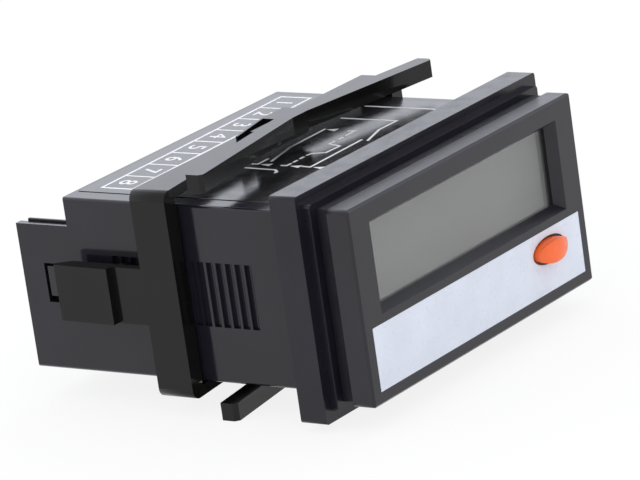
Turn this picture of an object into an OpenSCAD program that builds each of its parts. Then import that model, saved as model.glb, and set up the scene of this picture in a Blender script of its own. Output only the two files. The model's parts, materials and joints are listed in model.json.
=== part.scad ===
// Panel counter: snap-in display unit held in a panel by a sliding spring clip.
// Millimetres. +X right seen from the front, +Y rearwards, +Z up.
// Origin: middle of the adapter frame's rear face, which bears on the panel.

/* [Front bezel] */
// Bezel width
bezel_w = 48; // [46:0.5:52]
// Bezel height
bezel_h = 24; // [23.5:0.5:26]
// Bezel thickness
bezel_t = 3.0; // [2.6:0.1:4]
// Corner radius of the bezel outline
bezel_corner = 0.6; // [0.3:0.1:1]
// Chamfer around the bezel's front edge
bezel_chamfer = 0.3; // [0.1:0.1:0.6]

/* [Housing tube] */
// Tube width
body_w = 44.8; // [44:0.1:45]
// Tube height
body_h = 22; // [21.6:0.1:22.2]
// Corner radius of the tube
body_corner = 0.3; // [0.2:0.1:0.6]
// Wall thickness
wall = 1.0; // [0.95:0.05:1.2]
// Tube length behind the panel plane, lower part
body_depth = 41.3; // [40.5:0.1:44]
// Tube length behind the panel plane, upper part
upper_depth = 33.4; // [33:0.1:33.6]
// Height of the terminal step above the middle
step_z = 7.35; // [7:0.05:7.8]

/* [Adapter frame] */
// Flange width
frame_w = 51.3; // [50.5:0.1:54]
// Flange height
frame_h = 27.7; // [27:0.1:30]
// Flange thickness
frame_t = 3.7; // [3:0.1:4.5]
// Corner radius of the flange
frame_corner = 0.4; // [0.2:0.1:1]
// Collar width
collar_w = 48.8; // [48:0.1:50]
// Collar height
collar_h = 25.1; // [24.8:0.1:26]
// Collar thickness
collar_t = 1.0; // [0.6:0.1:1.5]
// Clearance between frame and tube, each side
frame_slip = 0.2; // [0.15:0.05:0.3]

/* [Gasket] */
// Gasket thickness
gasket_t = 1.95; // [1.5:0.05:2.5]
// Width of the gasket's rim
gasket_rim = 0.55; // [0.45:0.05:0.6]

/* [Window] */
// Window width at the bezel face
window_w = 40.2; // [40:0.1:41]
// Window height at the bezel face
window_h = 11.3; // [11:0.1:11.6]
// Height of the window's middle
window_z = 3.95; // [3.8:0.05:4]
// Inward slope of the window's walls, each side
window_slope = 0.8; // [0.4:0.05:0.9]
// Depth of the window's walls
window_depth = 1.35; // [1.2:0.05:1.5]
// Pane thickness
pane_t = 0.6; // [0.5:0.05:0.8]
// Overlap of the pane behind the wall
pane_lap = 0.5; // [0.3:0.05:0.5]

/* [Display] */
// Glass width
lcd_w = 38.2; // [37.5:0.1:40.6]
// Glass height
lcd_h = 11.2; // [10.8:0.1:11.4]
// Gap from the glass to the tube's ceiling
lcd_top_gap = 0.25; // [0.15:0.05:0.3]
// Thickness of one glass
glass_t = 0.7; // [0.5:0.05:0.8]
// Thickness of the adhesive or air film between flat layers
film = 0.05; // [0.02:0.01:0.08]
// Contact ledge of the front glass
ledge = 2.0; // [1.6:0.1:2.4]
// Reflector sheet thickness
reflector_t = 0.2; // [0.1:0.05:0.3]
// Wall of the glass holder
holder_wall = 0.6; // [0.5:0.05:0.6]
// Gap between holder and glass
holder_gap = 0.1; // [0.05:0.05:0.15]
// Contact strip height
strip_h = 1.4; // [1.2:0.1:1.5]
// Contact strip length
strip_w = 36; // [34:0.5:37]

/* [Label] */
// Front label width
label_w = 44.7; // [44:0.1:46]
// Front label height
label_h = 7.7; // [7.2:0.1:7.8]
// Height of the front label's middle
label_z = -6.55; // [-6.7:0.05:-6.5]
// Label thickness
label_t = 0.15; // [0.1:0.05:0.2]
// Depth of the label's seat
label_seat = 0.1; // [0.05:0.05:0.15]

/* [Wiring label] */
// Wiring label width
wiring_w = 40.8; // [38:0.1:41.5]
// Sideways place of the wiring label's middle
wiring_x = 0.4; // [0:0.1:0.6]
// Seat depth of the wiring label
wiring_seat = 0.05; // [0.03:0.01:0.1]
// Wiring label thickness
wiring_t = 0.12; // [0.08:0.01:0.14]
// Margin of the wiring label at the front and rear of the tube's top
wiring_margin = 0.6; // [0.4:0.1:1]
// Edge gap of the wiring label in its seat
wiring_gap = 0.05; // [0.03:0.01:0.1]

/* [Reset button] */
// Button position across
button_x = 15.15; // [13:0.05:16]
// Button height position
button_z = -5.25; // [-5.4:0.05:-4.6]
// Button width
button_w = 6.5; // [5:0.1:7]
// Button height
button_h = 2.8; // [2.6:0.05:3.4]
// Button stand above the bezel face
button_stand = 1.5; // [1.2:0.05:2]
// Running clearance around the button
button_slip = 0.1; // [0.05:0.005:0.15]
// Press travel
button_travel = 0.8; // [0.5:0.1:0.9]
// Radius of the button's domed front
button_dome = 7; // [5:0.1:8]
// Gap around the button in the label
button_window = 0.3; // [0.15:0.05:0.4]
// Rim of the flange around the button
flange_rim = 0.5; // [0.3:0.05:0.6]
// Flange thickness
flange_t = 0.8; // [0.6:0.1:1]
// Rest gap of the flange behind the front wall
flange_gap = 0.2; // [0.15:0.05:0.3]
// Stem length behind the flange
stem_len = 0.8; // [0.6:0.1:0.9]
// Plunger diameter
plunger_d = 2.2; // [2:0.1:2.4]
// Plunger length
plunger_len = 1.9; // [1.7:0.1:2]
// Switch body width
switch_w = 4.4; // [4.2:0.1:4.6]
// Switch body depth
switch_t = 3.3; // [3.2:0.1:3.4]
// Spare depth of the switch hole below the pressed plunger
switch_spare = 0.4; // [0.3:0.05:0.5]

/* [Mounting clip] */
// Ring width
ring_w = 49.8; // [49:0.1:51]
// Ring height
ring_h = 25.8; // [25.4:0.1:26.4]
// Ring depth
ring_t = 5.1; // [4.8:0.05:5.6]
// Position of the ring's front face behind the panel plane
ring_y = 16; // [15.2:0.1:16.2]
// Clearance between ring and tube, each side
clip_slip = 0.35; // [0.3:0.05:0.4]
// Outer corner radius of the ring
ring_corner = 1.2; // [0.5:0.1:1.3]
// Setback of the ring's top and bottom behind its front face, at the middle
ring_setback = 1.4; // [1:0.1:1.6]
// Length of the slope at each end of the setback
ring_slope = 12; // [10:0.5:14]
// Rise of the ring's middle above the tube's middle
ring_rise = 0.25; // [0:0.05:0.3]
// Length of a bow spring
bow_span = 48.8; // [46:0.1:51]
// Depth of a bow spring
bow_d = 2.25; // [2:0.05:2.4]
// Height of a bow spring
bow_h = 2.2; // [2:0.05:2.4]
// Gap between ring and bow
bow_lift = 0.1; // [0.05:0.05:0.3]
// Reach of the bow's ends ahead of the ring
bow_reach = 5.7; // [5:0.1:6]
// Reach of the bow's middle ahead of the ring
bow_mid_reach = 2.6; // [2.3:0.05:2.8]
// Half width of the bow's flat middle
bow_flat = 1.5; // [1:0.1:2.5]
// Rounding of the bow's tips
bow_tip = 0.5; // [0.3:0.1:0.8]
// Width of the neck that joins bow and ring
neck_w = 7.3; // [5:0.1:8]
// Sideways place of the neck's middle
neck_x = -0.85; // [-1:0.05:0.5]
// Depth of the neck's hold on the ring
neck_d = 0.3; // [0.2:0.1:0.6]
// Drop of the neck below the ring's top
neck_drop = 0.8; // [0.4:0.1:1]
// Height of neck and rib above the ring
rib_h = 1.3; // [1.1:0.05:1.6]
// Depth from the ring's front face to the rear of the rib behind the neck
rib_back = 3.9; // [3.4:0.1:4.4]
// Thickness of the rib's right half
rib_t = 2.1; // [1:0.1:2.4]
// Thickness of the rib's left half
rib_thin = 0.3; // [0.25:0.05:0.5]
// Forward lean of the rib's left half at its end
rib_lean = 1.5; // [1:0.1:1.8]
// Length of the rib's left half
rib_left = 7.3; // [6:0.1:8]
// Length of the rib's right half
rib_right = 4.7; // [4:0.1:7]
// Sideways place where the rib's halves meet
rib_x = 0.7; // [0:0.1:1]
// Height of a latch arm
arm_h = 7; // [6:0.1:7.6]
// Length of a latch arm
arm_len = 4.5; // [4.4:0.05:5]
// Thickness of a latch arm
arm_t = 1.2; // [1:0.1:1.4]
// Length of a thumb pad
pad_len = 8.4; // [7.8:0.1:8.6]
// Rise of a thumb pad over the arm
pad_rise = 0.9; // [0.7:0.05:1.1]
// Length of the bevel under a pad's rear end
pad_under = 1.8; // [1:0.1:2.4]
// Drop of the pad's rear end
pad_slope = 0.25; // [0.1:0.05:0.4]
// Chamfer of the pad's rear edge
pad_edge = 0.3; // [0.2:0.05:0.5]
// Length of the pawl along the tube
pawl_len = 1.3; // [1:0.1:1.4]

/* [Ratchet] */
// Groove pitch
ratchet_pitch = 1.4; // [1.3:0.05:1.5]
// Number of grooves on each side
ratchet_count = 15; // [14:1:16]
// Groove height
ratchet_h = 8; // [7.4:0.1:9]
// Groove depth
ratchet_deep = 0.5; // [0.4:0.05:0.6]
// Groove width
groove_w = 1.02; // [0.9:0.02:1.1]
// Width of a groove's floor
groove_floor = 0.55; // [0.4:0.05:0.7]
// First groove behind the panel plane
ratchet_y = 6.55; // [6:0.05:7]

/* [Terminal block] */
// Number of terminals
terminals = 8; // [8:1:8]
// Terminal pitch
pitch = 5; // [4.9:0.05:5.1]
// Assembly gap between block and tube
block_gap = 0.15; // [0.1:0.05:0.2]
// Rear face of the block ahead of the tube's rear end
block_inset = 1.0; // [0.8:0.1:1.4]
// Stand of the block's side cheeks above the step
block_stand = 0.3; // [0.1:0.05:0.5]
// Thickness of the block's side cheeks
cheek_t = 0.4; // [0.35:0.05:0.6]
// Height of the screw tray above the middle
tray_z = 3.6; // [3.5:0.05:3.7]
// Thickness of the block's front wall
block_front = 1.4; // [1.2:0.1:1.6]
// Thickness of the block's rear wall
block_rear = 1.0; // [0.9:0.05:1.1]
// Height of the wire entry
entry_h = 3.0; // [2.6:0.1:3.1]
// Width of the wire entry
entry_w = 3.2; // [2.8:0.1:3.4]
// Snap window height in the tube's side
snap_h = 4.95; // [4.6:0.05:5.2]
// Snap window length in the tube's side
snap_len = 4.9; // [4.6:0.1:5]
// Rear edge of the snap window ahead of the tube's rear end
snap_inset = 3.4; // [3:0.1:3.6]
// Gap behind the snap tongue
snap_rear_gap = 0.45; // [0.3:0.05:0.6]
// Gap above the snap tongue
snap_top_gap = 0.35; // [0.3:0.05:0.5]
// Gap below the snap tongue
snap_low_gap = 0.8; // [0.5:0.05:0.9]

/* [Terminal clamps] */
// Screw shank diameter
screw_d = 2.0; // [1.8:0.1:2.2]
// Screw head diameter
head_d = 3.4; // [3.2:0.05:3.5]
// Screw head height
head_h = 1.6; // [1.4:0.1:1.8]
// Radial running clearance of screw and bores
screw_slip = 0.075; // [0.05:0.005:0.1]
// Rest gap between head and seat
head_gap = 0.1; // [0.05:0.05:0.15]
// Driver slot width
slot_w = 0.6; // [0.5:0.05:0.7]
// Driver slot depth
slot_deep = 0.7; // [0.5:0.1:0.9]
// Depth of the screw's head below the tray
head_sink = 0.9; // [0.7:0.1:1]
// Shoulder under the screw head
shoulder_t = 0.8; // [0.7:0.05:0.9]
// Cage width
cage_w = 3.8; // [3.6:0.05:3.9]
// Cage depth
cage_d = 4.0; // [3.8:0.05:4.1]
// Cage height
cage_h = 6.2; // [6:0.05:6.3]
// Cage side thickness
cage_wall = 0.6; // [0.5:0.05:0.7]
// Cage top thickness
cage_top = 1.2; // [1:0.05:1.3]
// Gap between cage and cavity
cage_gap = 0.3; // [0.25:0.05:0.35]
// Rise of the cage when the screw is tightened
cage_rise = 2.0; // [1.6:0.1:2.2]
// Contact blade width
blade_w = 1.8; // [1.4:0.1:2]
// Contact blade thickness
blade_t = 0.6; // [0.5:0.05:0.7]
// Gap between screw end and contact blade
blade_gap = 0.6; // [0.4:0.1:0.8]
// Length of the contact blade ahead of the block
blade_lead = 1.8; // [1.4:0.1:2.2]
// Solder leg stand-out below the main board
leg_out = 0.8; // [0.6:0.1:1.2]

/* [Boards] */
// Display board thickness
board_t = 1.0; // [0.8:0.1:1.2]
// Display board front face ahead of the panel plane
board_y = -2.0; // [-2.2:0.1:-1.8]
// Gap from the boards' edges to the tube
board_gap = 0.4; // [0.3:0.05:0.5]
// Main board thickness
main_t = 1.6; // [1.2:0.1:1.6]
// Height of the main board's upper face
main_z = -4.6; // [-4.8:0.1:-4.4]
// Gap from the main board to the display board and the block
main_gap = 0.5; // [0.4:0.1:0.8]
// Clearance of leads in their board holes
lead_gap = 0.1; // [0.05:0.05:0.15]

/* [Components] */
// Controller width
chip_w = 10; // [7:0.5:12]
// Controller thickness
chip_t = 1.6; // [1.2:0.1:2]
// Crystal can diameter
crystal_d = 2.2; // [2:0.1:3]
// Crystal can length
crystal_len = 6; // [5:0.5:8]
// Battery diameter
battery_d = 20; // [16:0.5:20]
// Battery thickness
battery_h = 3.2; // [2.5:0.1:3.5]
// Battery position across
battery_x = -8; // [-9:0.5:-7]
// Battery position along the tube
battery_y = 15; // [14:0.5:16]
// Battery tab thickness
tab_t = 0.2; // [0.15:0.05:0.3]
// Battery tab width
tab_w = 3; // [2.5:0.1:4]
// Height of the battery above the main board
battery_lift = 0.6; // [0.5:0.1:0.8]
// Capacitor diameter
cap_d = 6.3; // [5:0.1:7]
// Capacitor height
cap_h = 8; // [6:0.5:9]
// Optocoupler width
opto_w = 6.5; // [6:0.1:7]
// Optocoupler length
opto_len = 4.6; // [4.4:0.1:5]
// Optocoupler height
opto_h = 3.5; // [3:0.1:4]
// Number of resistors
resistors_n = 6; // [4:1:7]
// Resistor length
resistor_len = 3.2; // [2:0.1:3.4]
// Resistor width
resistor_w = 1.6; // [1.2:0.1:1.8]
// Resistor height
resistor_h = 0.6; // [0.4:0.1:0.8]
// Number of header pins
header_n = 8; // [6:1:10]
// Header pitch
header_pitch = 2.54; // [2:0.01:2.54]
// Header pin width
header_w = 0.64; // [0.5:0.02:0.7]
// Height of the header above the main board
header_lift = 1.2; // [1:0.1:1.5]

/* [Hidden] */
$fn = 48;
eps = 0.01;
frame_front = -frame_t;
collar_front = frame_front - collar_t;
bezel_rear = collar_front - gasket_t;
bezel_front = bezel_rear - bezel_t;
wall_in = bezel_front + window_depth;
half_w = body_w / 2;
half_h = body_h / 2;
cav_w = body_w - 2 * wall;
cav_h = body_h - 2 * wall;
cav_top = cav_h / 2;
opening_w = body_w + 2 * frame_slip;
opening_h = body_h + 2 * frame_slip;
window_in_w = window_w - 2 * window_slope;
window_in_h = window_h - 2 * window_slope;
pane_y = wall_in;
lcd_y = pane_y + pane_t + film;
lcd_top = cav_top - lcd_top_gap;
lcd_z = lcd_top - lcd_h / 2;
rear_glass_y = lcd_y + glass_t + film;
reflector_y = rear_glass_y + glass_t + film;
holder_w = lcd_w + 2 * (holder_gap + holder_wall);
holder_low = lcd_top - lcd_h - holder_gap - holder_wall;
holder_len = board_y - film - lcd_y;
strip_y = lcd_y + glass_t;
strip_z = lcd_top - lcd_h + ledge / 2 - film;
label_y = bezel_front + label_seat - label_t;
wiring_len = upper_depth - 2 * wiring_margin;
button_front = bezel_front - button_stand;
flange_y = wall_in + flange_gap;
stem_y = flange_y + flange_t;
plunger_y = stem_y + stem_len;
dome_y = button_front + button_dome;
switch_y = board_y - switch_t;
switch_hole = plunger_y + plunger_len + button_travel + switch_spare - switch_y;
ring_top = ring_h / 2;
ring_rear = ring_y + ring_t;
wall_front = ring_y + ring_setback;
clip_in_w = body_w + 2 * clip_slip;
clip_in_h = body_h + 2 * (clip_slip + ring_rise);
arm_x = ring_w / 2;
arm_in = arm_x - arm_t;
pad_y = ring_rear + arm_len;
bow_low = ring_top + bow_lift;
block_w = cav_w - 2 * block_gap;
block_back = body_depth - block_inset;
cheek_top = step_z + block_stand;
block_low = -cav_top + block_gap;
block_y = upper_depth - block_front - block_gap;
cage_y = block_back - block_rear - cage_gap - cage_d / 2;
cav_cage_w = cage_w + 2 * cage_gap;
cav_cage_d = cage_d + 2 * cage_gap;
head_top = tray_z - head_sink;
head_low = head_top - head_h;
seat_z = head_low - head_gap;
cage_ceiling = seat_z - shoulder_t;
cage_max = cage_ceiling - cage_gap;
cage_z = cage_max - cage_rise - cage_h;
screw_low = cage_z + cage_h - cage_top + film;
blade_top = screw_low - blade_gap;
cav_cage_low = cage_z - cage_gap;
entry_z = blade_top - blade_t - entry_h / 2;
blade_y = block_y - blade_lead;
blade_end = cage_y + cage_d / 2;
snap_y = body_depth - snap_inset - snap_len;
main_y = board_y + board_t + main_gap;
main_len = block_y - main_gap - main_y;
main_w = cav_w - 2 * board_gap;
main_low = main_z - main_t;
board_h = cav_h - 2 * board_gap;
battery_z = main_z + battery_lift;

black = [0.09, 0.09, 0.095];
dark = [0.12, 0.12, 0.125];
white = [0.86, 0.87, 0.9];
orange = [0.93, 0.3, 0.1];
steel = [0.72, 0.73, 0.74];
brass = [0.78, 0.62, 0.32];
green = [0.1, 0.36, 0.2];
glass = [0.55, 0.57, 0.56];

// Place of a terminal across the block, counted from the right seen from the front.
function terminal_x(i) = ((terminals + 1) / 2 - i) * pitch;

// Flat outline with round corners.
module rounded(w, h, r) {
  square([w - 2 * r, h], center = true);
  square([w, h - 2 * r], center = true);
  for (sx = [-1, 1]) {
    for (sz = [-1, 1]) {
      translate([sx * (w / 2 - r), sz * (h / 2 - r)]) circle(r);
    }
  }
}

// Plate with round corners, standing across the tube from y0 over a depth d.
module plate(w, h, r, y0, d) {
  translate([0, y0 + d, 0]) rotate([90, 0, 0]) linear_extrude(d) rounded(w, h, r);
}

// Block centred across and in height, from y0 over a depth d.
module slab(w, h, y0, d, x = 0, z = 0) {
  translate([x - w / 2, y0, z - h / 2]) cube([w, d, h]);
}

// Round piece along the tube, from y0 over a length d.
module rod(r, y0, d, x = 0, z = 0) {
  translate([x, y0 + d, z]) rotate([90, 0, 0]) cylinder(r = r, h = d);
}

// The button's outline widened all round by rim, from y0 over a length d.
module button_oval(rim, y0, d) {
  half_w = button_w / 2 + rim;
  translate([button_x, y0 + d, button_z]) rotate([90, 0, 0])
    scale([1, (button_h / 2 + rim) / half_w, 1]) cylinder(r = half_w, h = d);
}

// Shape sloped evenly on all four sides between a front and a rear outline.
module sloped(w0, h0, w1, h1, y0, d, z = 0) {
  intersection() {
    translate([0, 0, z - h0 - h1]) linear_extrude(2 * (h0 + h1)) polygon([
      [-w0 / 2, y0], [w0 / 2, y0], [w1 / 2, y0 + d], [-w1 / 2, y0 + d]
    ]);
    translate([-w0 - w1, 0, z]) rotate([90, 0, 90]) linear_extrude(2 * (w0 + w1)) polygon([
      [y0, -h0 / 2], [y0 + d, -h1 / 2], [y0 + d, h1 / 2], [y0, h0 / 2]
    ]);
  }
}

module bezel_plate() {
  intersection() {
    plate(bezel_w, bezel_h, bezel_corner, bezel_front, bezel_t);
    union() {
      sloped(bezel_w - 2 * bezel_chamfer, bezel_h - 2 * bezel_chamfer, bezel_w, bezel_h,
        bezel_front, bezel_chamfer);
      slab(bezel_w, bezel_h, bezel_front + bezel_chamfer, bezel_t - bezel_chamfer);
    }
  }
}

module ratchet_side() {
  for (i = [0 : ratchet_count - 1]) {
    translate([-half_w, ratchet_y + i * ratchet_pitch, -ratchet_h / 2])
      linear_extrude(ratchet_h) polygon([
        [-wall, 0], [0, 0], [ratchet_deep, groove_w - groove_floor],
        [ratchet_deep, groove_w], [-wall, groove_w]
      ]);
  }
}

module housing() {
  color(black) difference() {
    union() {
      bezel_plate();
      plate(body_w, body_h, body_corner, bezel_rear - eps, body_depth - bezel_rear + eps);
    }
    slab(cav_w, cav_h, wall_in, body_depth - wall_in + wall);
    sloped(window_w, window_h, window_in_w, window_in_h, bezel_front, window_depth, window_z);
    slab(window_in_w, window_in_h, wall_in - eps, wall, 0, window_z);
    slab(window_w, window_h, bezel_front - wall, wall, 0, window_z);
    slab(label_w, label_h, bezel_front - wall, wall + label_seat, 0, label_z);
    button_oval(button_slip, bezel_front - wall, window_depth + 2 * wall);
    translate([-body_w, upper_depth, step_z]) cube([2 * body_w, body_depth, body_h]);
    slab(wiring_w, 2 * wiring_seat, wiring_margin, wiring_len, wiring_x, half_h);
    for (s = [0, 1]) {
      mirror([s, 0, 0]) ratchet_side();
      mirror([s, 0, 0]) translate([-half_w - wall, snap_y, -snap_h / 2])
        cube([3 * wall, snap_len, snap_h]);
    }
  }
}

module display_window() {
  color(glass) slab(window_in_w + 2 * pane_lap, window_in_h + 2 * pane_lap, pane_y, pane_t, 0, window_z);
}

module front_label() {
  color(white) difference() {
    slab(label_w, label_h, label_y, label_t, 0, label_z);
    button_oval(button_window, label_y - label_t, 3 * label_t);
  }
}

module wiring_label() {
  color(dark) translate([0, 0, half_h - wiring_seat + wiring_t / 2])
    slab(wiring_w - 2 * wiring_gap, wiring_t, wiring_margin + wiring_gap, wiring_len - 2 * wiring_gap,
      wiring_x);
}

module reset_button() {
  color(orange) union() {
    intersection() {
      button_oval(0, button_front, flange_y - button_front + eps);
      translate([button_x, dome_y, button_z]) sphere(r = button_dome, $fn = 4 * $fn);
    }
    button_oval(flange_rim, flange_y, flange_t);
    rod(plunger_d / 2, stem_y, stem_len, button_x, button_z);
  }
}

module switch_plunger() {
  color(black) rod(plunger_d / 2, plunger_y, plunger_len, button_x, button_z);
}

module reset_switch() {
  color(dark) difference() {
    slab(switch_w, switch_w, switch_y, switch_t, button_x, button_z);
    rod(plunger_d / 2 + button_slip, switch_y - wall, switch_hole + wall, button_x, button_z);
  }
}

module lcd_front_glass() {
  color(glass) slab(lcd_w, lcd_h, lcd_y, glass_t, 0, lcd_z);
}

module lcd_rear_glass() {
  color(glass) slab(lcd_w, lcd_h - ledge, rear_glass_y, glass_t, 0, lcd_z + ledge / 2);
}

module lcd_reflector() {
  color(glass) slab(lcd_w, lcd_h - ledge, reflector_y, reflector_t, 0, lcd_z + ledge / 2);
}

module lcd_holder() {
  color(black) difference() {
    translate([-holder_w / 2, lcd_y, holder_low]) cube([holder_w, holder_len, lcd_top - holder_low]);
    translate([-lcd_w / 2 - holder_gap, lcd_y - wall, holder_low + holder_wall])
      cube([lcd_w + 2 * holder_gap, holder_len + 2 * wall, body_h]);
  }
}

module contact_strip() {
  color(dark) slab(strip_w, strip_h, strip_y, board_y - strip_y, 0, strip_z);
}

module header_holes() {
  for (i = [1 : header_n]) {
    translate([(i - (header_n + 1) / 2) * header_pitch, 0, main_z + header_lift])
      slab(header_w + 2 * lead_gap, header_w + 2 * lead_gap, board_y - wall, board_t + 2 * wall);
  }
}

module display_board() {
  color(green) difference() {
    slab(main_w, board_h, board_y, board_t);
    header_holes();
  }
}

module controller_chip() {
  color(dark) slab(chip_w, chip_w * 0.8, board_y + board_t, chip_t, 0, lcd_z);
}

module crystal() {
  color(steel) translate([chip_w, board_y + board_t + crystal_d / 2, lcd_z]) rotate([0, 90, 0])
    cylinder(r = crystal_d / 2, h = crystal_len);
}

module header_pins() {
  color(brass) for (i = [1 : header_n]) {
    translate([(i - (header_n + 1) / 2) * header_pitch, 0, main_z + header_lift]) union() {
      slab(header_w, header_w, board_y - header_w, board_t + main_gap + 4 * header_w);
      translate([-header_w / 2, main_y + 2 * header_w, -header_lift - main_t - leg_out])
        cube([header_w, header_w, header_lift + main_t + leg_out + header_w / 2]);
    }
  }
}

module main_board() {
  color(green) difference() {
    translate([-main_w / 2, main_y, main_low]) cube([main_w, main_len, main_t]);
    for (i = [1 : header_n]) {
      translate([(i - (header_n + 1) / 2) * header_pitch, main_y + 2.5 * header_w, main_low])
        cube([header_w + 2 * lead_gap, header_w + 2 * lead_gap, 3 * main_t], center = true);
    }
    for (i = [1 : terminals]) {
      translate([terminal_x(i), blade_y + blade_t / 2, main_low])
        cube([blade_w + 2 * lead_gap, blade_t + 2 * lead_gap, 3 * main_t], center = true);
    }
    for (s = [-1, 1]) {
      translate([battery_x + s * (battery_d / 2 + tab_t), battery_y, main_low])
        cube([3 * tab_t + 2 * lead_gap, tab_w + 2 * lead_gap, 3 * main_t], center = true);
    }
  }
}

module battery() {
  color(steel) translate([battery_x, battery_y, battery_z]) cylinder(r = battery_d / 2, h = battery_h);
}

module battery_tabs() {
  color(brass) for (s = [-1, 1]) {
    leg_top = s < 0 ? battery_z : battery_z + battery_h + tab_t;
    blade_in = battery_d / 4;
    union() {
      translate([battery_x + s * (battery_d / 2 + tab_t) - tab_t / 2, battery_y - tab_w / 2,
        main_low - leg_out]) cube([tab_t, tab_w, leg_top - main_low + leg_out]);
      translate([battery_x + s * (battery_d / 2 + tab_t - blade_in / 2) - blade_in / 2,
        battery_y - tab_w / 2, leg_top - tab_t]) cube([blade_in, tab_w, tab_t]);
    }
  }
}

module capacitor() {
  color(dark) translate([main_w / 2 - cap_d, battery_y - cap_d, main_z]) cylinder(r = cap_d / 2, h = cap_h);
}

module optocoupler() {
  color(dark) translate([main_w / 2 - cap_d - opto_w / 2, battery_y + cap_d, main_z])
    cube([opto_w, opto_len, opto_h]);
}

module resistors() {
  color(dark) for (i = [1 : resistors_n]) {
    translate([(i - (resistors_n + 1) / 2) * 2 * resistor_len - resistor_len / 2,
      blade_y - 2 * resistor_w - lead_gap, main_z]) cube([resistor_len, resistor_w, resistor_h]);
  }
}

module snap_tongue() {
  translate([-half_w, snap_y + snap_rear_gap, -snap_h / 2 + snap_low_gap])
    cube([half_w - block_w / 2 + wall, snap_len - 2 * snap_rear_gap, snap_h - snap_top_gap - snap_low_gap]);
}

module block_cheek() {
  translate([-block_w / 2, block_y, block_low]) cube([cheek_t, block_back - block_y, cheek_top - block_low]);
}

module terminal_block() {
  color(dark) difference() {
    union() {
      translate([-block_w / 2, block_y, block_low]) cube([block_w, block_front, cav_h - 2 * block_gap]);
      translate([-block_w / 2, block_y, block_low])
        cube([block_w, block_back - block_y, tray_z - block_low]);
      block_cheek();
      mirror([1, 0, 0]) block_cheek();
      snap_tongue();
      mirror([1, 0, 0]) snap_tongue();
    }
    for (i = [1 : terminals]) {
      translate([terminal_x(i), 0, 0]) {
        translate([-cav_cage_w / 2, cage_y - cav_cage_d / 2, cav_cage_low])
          cube([cav_cage_w, cav_cage_d, cage_ceiling - cav_cage_low]);
        translate([0, cage_y, cage_ceiling - eps]) cylinder(r = screw_d / 2 + screw_slip, h = body_h);
        translate([0, cage_y, seat_z]) cylinder(r = head_d / 2 + screw_slip, h = body_h);
        slab(entry_w, entry_h, cage_y, body_depth, 0, entry_z);
        slab(blade_w + 2 * lead_gap, blade_t + 2 * lead_gap, block_y - wall, cage_y - block_y, 0,
          blade_top - blade_t / 2);
      }
    }
  }
}

module terminal_pins() {
  color(brass) for (i = [1 : terminals]) {
    translate([terminal_x(i), 0, 0]) union() {
      slab(blade_w, blade_t, blade_y, blade_end - blade_y, 0, blade_top - blade_t / 2);
      translate([-blade_w / 2, blade_y, main_low - leg_out])
        cube([blade_w, blade_t, blade_top - main_low + leg_out]);
    }
  }
}

module terminal_screw(i) {
  color(steel) translate([terminal_x(i), cage_y, 0]) difference() {
    union() {
      translate([0, 0, screw_low]) cylinder(r = screw_d / 2, h = head_low - screw_low + eps);
      translate([0, 0, head_low]) cylinder(r = head_d / 2, h = head_h);
    }
    translate([-head_d, -slot_w / 2, head_top - slot_deep]) cube([2 * head_d, slot_w, head_h]);
  }
}

module terminal_cage(i) {
  color(brass) translate([terminal_x(i), cage_y, cage_z]) difference() {
    translate([-cage_w / 2, -cage_d / 2, 0]) cube([cage_w, cage_d, cage_h]);
    translate([-cage_w / 2 + cage_wall, -cage_d, cage_wall])
      cube([cage_w - 2 * cage_wall, 2 * cage_d, cage_h - cage_wall - cage_top]);
    cylinder(r = screw_d / 2 + screw_slip, h = 2 * cage_h);
  }
}

module gasket() {
  color(black) difference() {
    plate(opening_w + 2 * gasket_rim, opening_h + 2 * gasket_rim, body_corner, bezel_rear, gasket_t);
    plate(opening_w, opening_h, body_corner, bezel_rear - gasket_t, 3 * gasket_t);
  }
}

module adapter_frame() {
  color(black) difference() {
    union() {
      plate(frame_w, frame_h, frame_corner, frame_front, frame_t);
      plate(collar_w, collar_h, frame_corner, collar_front, collar_t + eps);
    }
    plate(opening_w, opening_h, body_corner, collar_front - wall, frame_t + collar_t + 2 * wall);
  }
}

module bow() {
  mid = ring_y - bow_mid_reach;
  tip = ring_y - bow_reach;
  translate([0, 0, bow_low]) linear_extrude(bow_h) polygon([
    [-bow_span / 2, tip + bow_tip], [-bow_span / 2 + bow_tip, tip], [-bow_flat, mid],
    [bow_flat, mid], [bow_span / 2 - bow_tip, tip], [bow_span / 2, tip + bow_tip],
    [bow_span / 2, tip + bow_d], [bow_flat, mid + bow_d], [-bow_flat, mid + bow_d],
    [-bow_span / 2, tip + bow_d]
  ]);
}

// Neck behind the bow's middle, and the rib that stiffens the ring behind it.
module bow_root() {
  bow_in = ring_y - bow_mid_reach + bow_d / 2;
  back = ring_y + rib_back;
  translate([neck_x - neck_w / 2, bow_in, ring_top - neck_drop])
    cube([neck_w, wall_front + neck_d - bow_in, neck_drop + rib_h]);
  translate([0, 0, ring_top - eps]) linear_extrude(rib_h + eps) union() {
    translate([rib_x - eps, back - rib_t]) square([rib_right + eps, rib_t]);
    polygon([
      [rib_x, back], [rib_x - rib_left, back - rib_lean], [rib_x - rib_left, back - rib_lean - rib_thin],
      [rib_x, back - rib_thin]
    ]);
  }
}

// Room ahead of the ring's top, which recedes towards its middle.
module ring_relief() {
  reach = ring_w / 2 - ring_corner;
  translate([0, 0, half_h]) linear_extrude(body_h) polygon([
    [-reach, ring_y], [-reach, ring_y - ring_t], [reach, ring_y - ring_t], [reach, ring_y],
    [reach - ring_slope, wall_front], [-reach + ring_slope, wall_front]
  ]);
}

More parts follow.
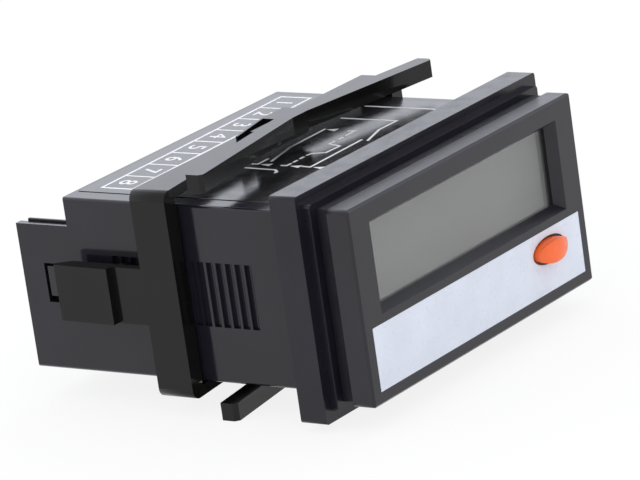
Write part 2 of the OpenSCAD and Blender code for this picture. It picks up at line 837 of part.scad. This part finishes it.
module latch() {
  translate([0, 0, -arm_h / 2]) linear_extrude(arm_h) union() {
    polygon([
      [-arm_x, ring_rear - ring_t / 2], [-arm_x, pad_y], [-arm_x - pad_rise, pad_y],
      [-arm_x - pad_rise + pad_slope, pad_y + pad_len - pad_edge],
      [-arm_x - pad_rise + pad_slope + pad_edge, pad_y + pad_len], [-arm_x, pad_y + pad_len],
      [-arm_in, pad_y + pad_len - pad_under], [-arm_in, ring_rear - ring_t / 2]
    ]);
    polygon([
      [-arm_in - eps, pad_y - pawl_len], [-clip_in_w / 2, pad_y - pawl_len],
      [-arm_in - eps, pad_y]
    ]);
  }
}

module mounting_clip() {
  color(dark) union() {
    translate([0, 0, ring_rise]) {
      difference() {
        plate(ring_w, ring_h, ring_corner, ring_y, ring_t);
        plate(clip_in_w, clip_in_h, body_corner, ring_y - ring_t, 3 * ring_t);
        ring_relief();
        rotate([0, 180, 0]) ring_relief();
      }
      for (turn = [0, 180]) {
        rotate([0, turn, 0]) bow();
        rotate([0, turn, 0]) bow_root();
      }
    }
    latch();
    mirror([1, 0, 0]) latch();
  }
}

housing();
display_window();
front_label();
wiring_label();
reset_button();
switch_plunger();
reset_switch();
lcd_front_glass();
lcd_rear_glass();
lcd_reflector();
lcd_holder();
contact_strip();
display_board();
controller_chip();
crystal();
header_pins();
main_board();
battery();
battery_tabs();
capacitor();
optocoupler();
resistors();
terminal_block();
terminal_pins();
terminal_screw(1);  // terminal_screw_1
terminal_screw(2);  // terminal_screw_2
terminal_screw(3);  // terminal_screw_3
terminal_screw(4);  // terminal_screw_4
terminal_screw(5);  // terminal_screw_5
terminal_screw(6);  // terminal_screw_6
terminal_screw(7);  // terminal_screw_7
terminal_screw(8);  // terminal_screw_8
terminal_cage(1);  // terminal_cage_1
terminal_cage(2);  // terminal_cage_2
terminal_cage(3);  // terminal_cage_3
terminal_cage(4);  // terminal_cage_4
terminal_cage(5);  // terminal_cage_5
terminal_cage(6);  // terminal_cage_6
terminal_cage(7);  // terminal_cage_7
terminal_cage(8);  // terminal_cage_8
gasket();
adapter_frame();
mounting_clip();
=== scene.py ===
"""Panel counter: materials, print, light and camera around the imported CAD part."""
import json
import math

import bmesh
import bpy
from mathutils import Matrix, Vector

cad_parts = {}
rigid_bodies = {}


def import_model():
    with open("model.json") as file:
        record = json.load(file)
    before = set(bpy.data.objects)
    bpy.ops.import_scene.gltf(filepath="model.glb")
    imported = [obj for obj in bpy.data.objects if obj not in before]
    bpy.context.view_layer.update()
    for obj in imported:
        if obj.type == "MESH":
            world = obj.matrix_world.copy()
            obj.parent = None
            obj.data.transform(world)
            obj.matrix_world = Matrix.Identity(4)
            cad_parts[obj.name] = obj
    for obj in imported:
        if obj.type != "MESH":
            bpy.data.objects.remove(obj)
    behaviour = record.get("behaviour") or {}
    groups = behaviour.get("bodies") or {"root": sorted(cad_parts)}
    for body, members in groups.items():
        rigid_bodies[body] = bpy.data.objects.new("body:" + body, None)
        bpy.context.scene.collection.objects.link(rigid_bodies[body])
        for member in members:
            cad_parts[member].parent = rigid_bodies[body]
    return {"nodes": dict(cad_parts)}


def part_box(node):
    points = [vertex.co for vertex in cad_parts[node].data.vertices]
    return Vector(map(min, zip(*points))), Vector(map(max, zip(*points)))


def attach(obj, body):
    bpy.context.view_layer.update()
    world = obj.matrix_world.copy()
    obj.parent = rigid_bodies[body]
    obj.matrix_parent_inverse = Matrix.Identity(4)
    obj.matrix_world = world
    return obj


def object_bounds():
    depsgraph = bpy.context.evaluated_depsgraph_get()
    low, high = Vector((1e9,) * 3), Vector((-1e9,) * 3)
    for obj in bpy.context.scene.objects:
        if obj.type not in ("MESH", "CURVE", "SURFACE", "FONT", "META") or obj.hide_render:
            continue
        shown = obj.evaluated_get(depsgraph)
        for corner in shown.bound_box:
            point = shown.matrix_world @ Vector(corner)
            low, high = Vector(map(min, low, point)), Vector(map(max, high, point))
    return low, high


MM = 0.001
TERMINALS = 8
DEFAULT_OBJECTS = ("Cube", "Light", "Camera")

for leftover in [o for o in bpy.data.objects if o.name in DEFAULT_OBJECTS]:
    bpy.data.objects.remove(leftover, do_unlink=True)

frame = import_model()
cad_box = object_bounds()
nodes = frame["nodes"]
scene = bpy.context.scene
scene.view_settings.view_transform = "Standard"


# Node helpers

def new_material(name, color, roughness, ior=1.5, metallic=0.0):
    mat = bpy.data.materials.new(name)
    mat.use_nodes = True
    tree = mat.node_tree
    shader = tree.nodes["Principled BSDF"]
    shader.inputs["Base Color"].default_value = (*color, 1.0)
    shader.inputs["Roughness"].default_value = roughness
    shader.inputs["IOR"].default_value = ior
    shader.inputs["Metallic"].default_value = metallic
    return mat, tree, shader


def place(tree):
    """The point on the object, in metres, in the row frame."""
    for n in tree.nodes:
        if n.bl_idname == "ShaderNodeTexCoord":
            return n.outputs["Object"]
    return tree.nodes.new("ShaderNodeTexCoord").outputs["Object"]


def stretched(tree, scale):
    n = tree.nodes.new("ShaderNodeVectorMath")
    n.operation = "MULTIPLY"
    n.inputs[1].default_value = scale
    tree.links.new(place(tree), n.inputs[0])
    return n.outputs[0]


def noise(tree, scale, detail=2.0, roughness=0.5, vector=None):
    n = tree.nodes.new("ShaderNodeTexNoise")
    n.inputs["Scale"].default_value = scale
    n.inputs["Detail"].default_value = detail
    n.inputs["Roughness"].default_value = roughness
    tree.links.new(vector or place(tree), n.inputs["Vector"])
    return n.outputs["Fac"]


def ranged(tree, value, lo, hi, from_lo=0.3, from_hi=0.7):
    n = tree.nodes.new("ShaderNodeMapRange")
    n.inputs["From Min"].default_value = from_lo
    n.inputs["From Max"].default_value = from_hi
    n.inputs["To Min"].default_value = lo
    n.inputs["To Max"].default_value = hi
    tree.links.new(value, n.inputs["Value"])
    return n.outputs["Result"]


def math_node(tree, operation, a, b):
    n = tree.nodes.new("ShaderNodeMath")
    n.operation = operation
    for socket, value in zip(n.inputs, (a, b)):
        if isinstance(value, (int, float)):
            socket.default_value = value
        else:
            tree.links.new(value, socket)
    return n.outputs[0]


def tones(tree, fac, a, b):
    n = tree.nodes.new("ShaderNodeMix")
    n.data_type = "RGBA"
    colour_in = [s for s in n.inputs if s.type == "RGBA"]
    colour_in[0].default_value = (*a, 1.0)
    colour_in[1].default_value = (*b, 1.0)
    tree.links.new(fac, n.inputs["Factor"])
    return [s for s in n.outputs if s.type == "RGBA"][0]


def axis_of(tree, axis):
    n = tree.nodes.new("ShaderNodeSeparateXYZ")
    tree.links.new(place(tree), n.inputs[0])
    return n.outputs["XYZ".index(axis)]


def bump(tree, shader, height, strength, distance):
    n = tree.nodes.new("ShaderNodeBump")
    n.inputs["Distance"].default_value = distance
    if isinstance(strength, (int, float)):
        n.inputs["Strength"].default_value = strength
    else:
        tree.links.new(strength, n.inputs["Strength"])
    tree.links.new(height, n.inputs["Height"])
    earlier = shader.inputs["Normal"].links
    if earlier:
        tree.links.new(earlier[0].from_socket, n.inputs["Normal"])
    tree.links.new(n.outputs["Normal"], shader.inputs["Normal"])


def scaled(color, k):
    return tuple(c * k for c in color)


def paint(tree, shader, pattern, a, b, lo=0.3, hi=0.7):
    """Base colour from tone a to tone b along the pattern."""
    fac = ranged(tree, pattern, 0.0, 1.0, lo, hi)
    tree.links.new(tones(tree, fac, a, b), shader.inputs["Base Color"])


def polish(tree, shader, pattern, lo, hi):
    """Roughness from lo to hi along the pattern."""
    tree.links.new(ranged(tree, pattern, lo, hi), shader.inputs["Roughness"])


# Materials

TONE_SPREAD = 0.15
GLOSS_SPREAD = 0.3
GRAIN_SCALE = 4200.0
GRAIN_HEIGHT = 0.03 * MM
WAVE_HEIGHT = 0.2 * MM


def drift(tree, shader, color):
    """Slow change of tone over a moulding."""
    dark, pale = scaled(color, 1 - TONE_SPREAD), scaled(color, 1 + TONE_SPREAD)
    paint(tree, shader, noise(tree, 140.0, 3.0), dark, pale)


def moulded(name, color, roughness, grain=0.0, grain_scale=GRAIN_SCALE, ior=1.5):
    """Moulded plastic: tone and gloss drift slowly over it, with fine grain where grain is above 0."""
    mat, tree, shader = new_material(name, color, roughness, ior)
    drift(tree, shader, color)
    patches = noise(tree, 420.0, 4.0, 0.6)
    polish(tree, shader, patches, roughness * (1 - GLOSS_SPREAD), roughness * (1 + GLOSS_SPREAD))
    bump(tree, shader, noise(tree, 90.0, 2.0), 0.08, WAVE_HEIGHT)
    if grain:
        bump(tree, shader, noise(tree, grain_scale, 3.0, 0.65), grain, GRAIN_HEIGHT)
    return mat


BLACK = (0.0108, 0.0102, 0.0165)
CLIP_BLACK = (0.007, 0.007, 0.0066)
BEZEL_REAR = -6.65 * MM
BEZEL_BLEND = 0.05 * MM


def case_plastic():
    """The housing's moulding: a grained bezel, and a smooth tube behind it."""
    mat, tree, shader = new_material("case_plastic", BLACK, 0.18, 1.46)
    drift(tree, shader, BLACK)
    blend = (BEZEL_REAR - BEZEL_BLEND, BEZEL_REAR + BEZEL_BLEND)
    bezel = ranged(tree, axis_of(tree, "Y"), 1.0, 0.0, *blend)
    smooth = ranged(tree, noise(tree, 420.0, 4.0, 0.6), 0.09, 0.16)
    gloss = math_node(tree, "ADD", smooth, math_node(tree, "MULTIPLY", bezel, 0.18))
    tree.links.new(gloss, shader.inputs["Roughness"])
    bump(tree, shader, noise(tree, 90.0, 2.0), 0.06, WAVE_HEIGHT)
    sheen = ranged(tree, bezel, 0.5, 0.52, 0.0, 1.0)
    tree.links.new(sheen, shader.inputs["Specular IOR Level"])
    grain = math_node(tree, "MULTIPLY", bezel, 0.45)
    bump(tree, shader, noise(tree, GRAIN_SCALE, 3.0, 0.65), grain, GRAIN_HEIGHT)
    return mat


def film(name, color, roughness, ior=1.5):
    """Label film, glass or ink: an even coat with slight waves."""
    mat, tree, shader = new_material(name, color, roughness, ior)
    paint(tree, shader, noise(tree, 200.0, 3.0), scaled(color, 0.96), scaled(color, 1.04))
    polish(tree, shader, noise(tree, 700.0, 3.0), roughness * 0.8, roughness * 1.25)
    bump(tree, shader, noise(tree, 160.0, 2.0), 0.05, 0.1 * MM)
    return mat


def clear(name, tint, roughness, ior):
    """Clear plastic."""
    mat, tree, shader = new_material(name, tint, roughness, ior)
    shader.inputs["Transmission Weight"].default_value = 1.0
    polish(tree, shader, noise(tree, 300.0, 3.0), roughness * 0.5, roughness * 1.5)
    return mat


def display_face():
    """The display's polariser: an even grey, with painted shade that darkens it towards its right end and
    a little below, where the recess walls shade it.
    """
    mat, tree, shader = new_material("display_face", (0.22, 0.223, 0.221), 0.35)
    # painted shade: the grey darkens steeply near the right recess wall and a little towards the lower
    # edge
    right_wall_shade = ranged(tree, axis_of(tree, "X"), 0.0, 1.0, 7.5 * MM, 18.6 * MM)
    right_wall_shade = math_node(tree, "POWER", right_wall_shade, 2.0)
    low_edge_shade = ranged(tree, axis_of(tree, "Z"), 0.29, 0.0, -1.5 * MM, 4.0 * MM)
    shade = math_node(tree, "ADD", right_wall_shade, low_edge_shade)
    shade = math_node(tree, "ADD", shade, ranged(tree, noise(tree, 60.0, 2.0), 0.0, 0.06))
    paint(tree, shader, shade, (0.226, 0.229, 0.228), (0.066, 0.068, 0.07), 0.0, 1.0)
    polish(tree, shader, noise(tree, 2500.0, 2.0), 0.3, 0.4)
    return mat


def metal(name, color, roughness, brushed=(900.0, 60.0, 60.0)):
    """Metal with fine lines along one axis."""
    mat, tree, shader = new_material(name, color, roughness, metallic=1.0)
    lines = noise(tree, 8.0, 3.0, vector=stretched(tree, brushed))
    polish(tree, shader, lines, roughness * 0.75, roughness * 1.3)
    paint(tree, shader, noise(tree, 500.0), scaled(color, 0.92), color)
    bump(tree, shader, lines, 0.08, 0.02 * MM)
    return mat


def board_face():
    """A circuit board's green coat over its tracks."""
    mat, tree, shader = new_material("board_face", (0.02, 0.12, 0.05), 0.35)
    tracks = noise(tree, 260.0, 0.0, vector=stretched(tree, (3.0, 0.6, 1.0)))
    paint(tree, shader, tracks, (0.015, 0.09, 0.04), (0.035, 0.17, 0.07), 0.5, 0.52)
    polish(tree, shader, noise(tree, 1500.0), 0.28, 0.42)
    bump(tree, shader, tracks, 0.1, 0.03 * MM)
    return mat


M = {
    "case": case_plastic(),
    "frame": moulded("frame_plastic", BLACK, 0.22, grain=0.5, ior=1.41),
    "clip": moulded("clip_plastic", CLIP_BLACK, 0.14, grain=0.04, ior=1.34),
    "block": moulded("block_plastic", BLACK, 0.3, grain=0.1),
    "inner": moulded("inner_plastic", scaled(BLACK, 1.5), 0.4, grain=0.1),
    "film": film("wiring_film", (0.011, 0.011, 0.012), 0.16, 1.6),
    "label": film("front_film", (0.7, 0.74, 0.84), 0.3),
    "button": moulded("button_plastic", (0.88, 0.13, 0.021), 0.33, grain=0.06),
    "window": clear("window_plastic", (0.98, 0.98, 0.98), 0.02, 1.49),
    "display": display_face(),
    "glass": film("display_glass", (0.25, 0.26, 0.25), 0.1),
    "reflector": metal("reflector_sheet", (0.55, 0.57, 0.56), 0.4),
    "rubber": moulded("gasket_rubber", scaled(BLACK, 0.8), 0.6, 0.25, 2600.0, ior=1.36),
    "board": board_face(),
    "part": moulded("component_body", (0.02, 0.02, 0.021), 0.45, grain=0.2),
    "steel": metal("plated_steel", (0.62, 0.62, 0.6), 0.28),
    "brass": metal("tinned_brass", (0.72, 0.55, 0.28), 0.3),
    "ink": film("white_ink", (0.8, 0.8, 0.82), 0.45),
}

NODE_MATERIAL = {
    "housing": "case", "display_window": "window", "front_label": "label", "wiring_label": "film",
    "reset_button": "button", "switch_plunger": "part", "reset_switch": "part",
    "lcd_front_glass": "display", "lcd_rear_glass": "glass", "lcd_reflector": "reflector",
    "lcd_holder": "inner",
    "contact_strip": "rubber", "display_board": "board", "controller_chip": "part", "crystal": "steel",
    "header_pins": "brass", "main_board": "board", "battery": "steel", "battery_tabs": "brass",
    "capacitor": "part", "optocoupler": "part", "resistors": "part", "terminal_block": "block",
    "terminal_pins": "brass", "gasket": "rubber", "adapter_frame": "frame", "mounting_clip": "clip",
}
for number in range(1, TERMINALS + 1):
    NODE_MATERIAL[f"terminal_screw_{number}"] = "steel"
    NODE_MATERIAL[f"terminal_cage_{number}"] = "brass"

for name, key in NODE_MATERIAL.items():
    data = nodes[name].data
    data.materials.clear()
    data.materials.append(M[key])


# Softened edges on the mouldings that show, widths in millimetres

EDGE = {
    "housing": 0.12, "adapter_frame": 0.15, "mounting_clip": 0.15, "terminal_block": 0.1,
    "reset_button": 0.3, "wiring_label": 0.05,
}
WELD_GAP = 0.002
SHARP_FROM = math.radians(35)
for name, width in EDGE.items():
    o = nodes[name]
    weld = o.modifiers.new("weld", "WELD")
    weld.merge_threshold = WELD_GAP * MM
    bevel = o.modifiers.new("edges", "BEVEL")
    bevel.width = width * MM
    bevel.segments = 2
    bevel.limit_method = "ANGLE"
    bevel.angle_limit = SHARP_FROM
    bevel.harden_normals = True


# Print on the wiring label

def add_piece(name, bm, material, body="counter"):
    mesh = bpy.data.meshes.new(name)
    bm.normal_update()
    bm.to_mesh(mesh)
    bm.free()
    o = bpy.data.objects.new(name, mesh)
    scene.collection.objects.link(o)
    mesh.materials.append(M[material])
    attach(o, body)


INK_THICKNESS = 0.012 * MM
INK_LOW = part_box("wiring_label")[1].z
INK_HIGH = INK_LOW + INK_THICKNESS
PRINT_SKEW = 0.0176
SHARPEST_MITRE = 0.3


def printed(x, y, z):
    """A point of the print, which lies a little askew on the label; x and y in millimetres."""
    return Vector((x * MM, (y + PRINT_SKEW * x) * MM, z))


def prism(bm, outline):
    """A flat closed plate of ink over an outline in millimetres, counter-clockwise."""
    low = [bm.verts.new(printed(x, y, INK_LOW)) for x, y in outline]
    high = [bm.verts.new(printed(x, y, INK_HIGH)) for x, y in outline]
    bm.faces.new(high)
    bm.faces.new(low[::-1])
    for i in range(len(outline)):
        j = (i + 1) % len(outline)
        bm.faces.new((low[i], low[j], high[j], high[i]))


def stroke(bm, points, width, closed=False):
    """A line of even width through the points, with mitred corners."""
    pts = [Vector(p) for p in points]
    n = len(pts)
    left, right = [], []
    for i, p in enumerate(pts):
        before = pts[i - 1] if i or closed else None
        after = pts[(i + 1) % n] if i < n - 1 or closed else None
        pairs = ((before, p), (p, after))
        ways = [(b - a).normalized() for a, b in pairs if a is not None and b is not None]
        normals = [Vector((-w.y, w.x)) for w in ways]
        mitre = sum(normals, Vector((0, 0))).normalized()
        reach = width / 2 / max(mitre.dot(normals[0]), SHARPEST_MITRE)
        left.append(p + mitre * reach)
        right.append(p - mitre * reach)
    (ll, lh), (rl, rh) = [
        [[bm.verts.new(printed(q.x, q.y, z)) for q in side] for z in (INK_LOW, INK_HIGH)]
        for side in (left, right)
    ]
    for i in range(n if closed else n - 1):
        j = (i + 1) % n
        bm.faces.new((rh[i], rh[j], lh[j], lh[i]))
        bm.faces.new((ll[i], ll[j], rl[j], rl[i]))
        bm.faces.new((lh[i], lh[j], ll[j], ll[i]))
        bm.faces.new((rl[i], rl[j], rh[j], rh[i]))
    if not closed:
        bm.faces.new((ll[0], rl[0], rh[0], lh[0]))
        bm.faces.new((rl[-1], ll[-1], lh[-1], rh[-1]))


LINE = 0.38
THIN_LINE = 0.342
TABLE_RIGHT = 19.9
CELL = 4.77
TABLE_FRONT = 26.2
TABLE_REAR = 30.8

bm = bmesh.new()
table_left = TABLE_RIGHT - TERMINALS * CELL
stroke(bm, [
    (table_left, TABLE_FRONT), (TABLE_RIGHT, TABLE_FRONT),
    (TABLE_RIGHT, TABLE_REAR), (table_left, TABLE_REAR),
], LINE, closed=True)
for k in range(1, TERMINALS):
    x = TABLE_RIGHT - k * CELL
    stroke(bm, [(x, TABLE_FRONT + LINE / 2), (x, TABLE_REAR - LINE / 2)], THIN_LINE)
add_piece("terminal_table", bm, "ink")

DIAGRAM = [
    [(17.7, 16.4), (17.7, 5.4)],
    [(12.5, 16.5), (12.5, 8.15), (8.75, 8.25), (4.3, 7.0)],
    [(8.0, 15.8), (0.25, 15.8), (-5.3, 14.7)],
    [(7.6, 12.15), (7.85, 11.25), (5.75, 11.2)],
    [(5.15, 11.2), (4.15, 11.2)],
    [(3.55, 11.3), (2.35, 11.4), (1.8, 9.4), (-0.9, 9.6), (-1.6, 11.3), (-2.4, 11.5)],
    [(-2.9, 11.5), (-3.8, 11.5)],
    [(-4.3, 11.5), (-5.2, 11.5)],
    [(-5.6, 11.5), (-6.5, 11.55), (-6.55, 12.4)],
    [(-6.45, 9.4), (-6.55, 8.05), (4.65, 8.05)],
    [(-6.6, 16.7), (-6.5, 15.8), (-4.25, 15.8)],
    [(-8.1, 16.7), (-8.3, 12.0), (-8.95, 11.3), (-9.45, 11.3)],
]
HEADS = [(7.8, 15.45), (-6.6, 15.35), (-6.6, 11.0), (-6.6, 7.6)]
HEAD_LENGTH = 1.5
HEAD_HALF = 0.5
bm = bmesh.new()
for line in DIAGRAM:
    stroke(bm, line, THIN_LINE)
for x, y in HEADS:
    prism(bm, [(x, y), (x - HEAD_HALF, y - HEAD_LENGTH), (x + HEAD_HALF, y - HEAD_LENGTH)])
add_piece("wiring_diagram", bm, "ink")

DIGIT_SIZE = 3.5
DIGIT_SHIFT = 0.2
DIGIT_Y = (TABLE_FRONT + TABLE_REAR) / 2 + DIGIT_SHIFT
DIGIT_WEIGHT = 0.03
bm = bmesh.new()
for k in range(TERMINALS):
    curve = bpy.data.curves.new("digit", "FONT")
    curve.body = str(k + 1)
    curve.align_x = "CENTER"
    curve.align_y = "CENTER"
    curve.size = DIGIT_SIZE * MM
    curve.extrude = INK_THICKNESS / 2
    curve.offset = DIGIT_WEIGHT * MM
    curve.resolution_u = 4
    text = bpy.data.objects.new("digit", curve)
    scene.collection.objects.link(text)
    bpy.context.view_layer.update()
    depsgraph = bpy.context.evaluated_depsgraph_get()
    mesh = bpy.data.meshes.new_from_object(text.evaluated_get(depsgraph))
    x = TABLE_RIGHT - (k + 0.5) * CELL
    middle = printed(x, DIGIT_Y, INK_LOW + INK_THICKNESS / 2)
    mesh.transform(Matrix.Translation(middle) @ Matrix.Rotation(math.pi, 4, "Z"))
    bm.from_mesh(mesh)
    bpy.data.objects.remove(text, do_unlink=True)
    bpy.data.curves.remove(curve)
    bpy.data.meshes.remove(mesh)
add_piece("terminal_numbers", bm, "ink")


# Floor, light and camera

FLOOR_GAP = 0.02 * MM
FLOOR_Z = cad_box[0].z - FLOOR_GAP
FLOOR_HALF = 3.0
FLOOR_WHITE = 0.95
FLOOR_LIT = 0.85
floor_mesh = bpy.data.meshes.new("floor")
corners = [(-1, -1), (1, -1), (1, 1), (-1, 1)]
floor_mesh.from_pydata([(x * FLOOR_HALF, y * FLOOR_HALF, FLOOR_Z) for x, y in corners], [], [(0, 1, 2, 3)])
floor = bpy.data.objects.new("floor", floor_mesh)
scene.collection.objects.link(floor)

mat = bpy.data.materials.new("floor_white")
mat.use_nodes = True
tree = mat.node_tree
tree.nodes.remove(tree.nodes["Principled BSDF"])
matt = tree.nodes.new("ShaderNodeBsdfDiffuse")
matt.inputs["Color"].default_value = (FLOOR_WHITE, FLOOR_WHITE, FLOOR_WHITE, 1.0)
lit = tree.nodes.new("ShaderNodeEmission")
lit.inputs["Strength"].default_value = 1.0
rays = tree.nodes.new("ShaderNodeLightPath")
seen = math_node(tree, "MAXIMUM", rays.outputs["Is Camera Ray"], rays.outputs["Is Glossy Ray"])
seen = math_node(tree, "MAXIMUM", seen, rays.outputs["Is Transmission Ray"])
mix = tree.nodes.new("ShaderNodeMixShader")
tree.links.new(math_node(tree, "MULTIPLY", seen, FLOOR_LIT), mix.inputs["Fac"])
tree.links.new(matt.outputs[0], mix.inputs[1])
tree.links.new(lit.outputs[0], mix.inputs[2])
tree.links.new(mix.outputs[0], tree.nodes["Material Output"].inputs["Surface"])
floor_mesh.materials.append(mat)

world = bpy.data.worlds.new("studio")
world.use_nodes = True
tree = world.node_tree
background = tree.nodes["Background"]
background.inputs["Strength"].default_value = 1.0
FAR_SIDE = (0.77, 0.58, 0.27)
NEAR_LIGHT = (1.0, 1.0, 1.0)
FAR_LIGHT = (1.48, 1.53, 1.66)
facing = tree.nodes.new("ShaderNodeVectorMath")
facing.operation = "DOT_PRODUCT"
facing.inputs[1].default_value = FAR_SIDE
tree.links.new(tree.nodes.new("ShaderNodeTexCoord").outputs["Generated"], facing.inputs[0])
glow = ranged(tree, facing.outputs["Value"], 0.0, 1.0, 0.2, 0.9)
tree.links.new(tones(tree, glow, NEAR_LIGHT, FAR_LIGHT), background.inputs["Color"])
scene.world = world

AZIMUTH, ELEVATION, ROLL = (math.radians(v) for v in (-52.6087, 16.2560, -8.2604))
CAMERA_AT = Vector((-429.831, -315.453, 157.286)) * MM
LENS = 261.484
SENSOR = 36.0
level = math.cos(ELEVATION)
back = Vector((math.sin(AZIMUTH) * level, -math.cos(AZIMUTH) * level, math.sin(ELEVATION)))
right = (-back).cross(Vector((0, 0, 1))).normalized()
up = right.cross(-back)
right, up = math.cos(ROLL) * right + math.sin(ROLL) * up, math.cos(ROLL) * up - math.sin(ROLL) * right
data = bpy.data.cameras.new("camera")
data.sensor_width = SENSOR
data.lens = LENS
data.clip_start, data.clip_end = 0.01, 20.0
camera = bpy.data.objects.new("camera", data)
camera.matrix_world = Matrix.Translation(CAMERA_AT) @ Matrix((right, up, back)).transposed().to_4x4()
scene.collection.objects.link(camera)
scene.camera = camera
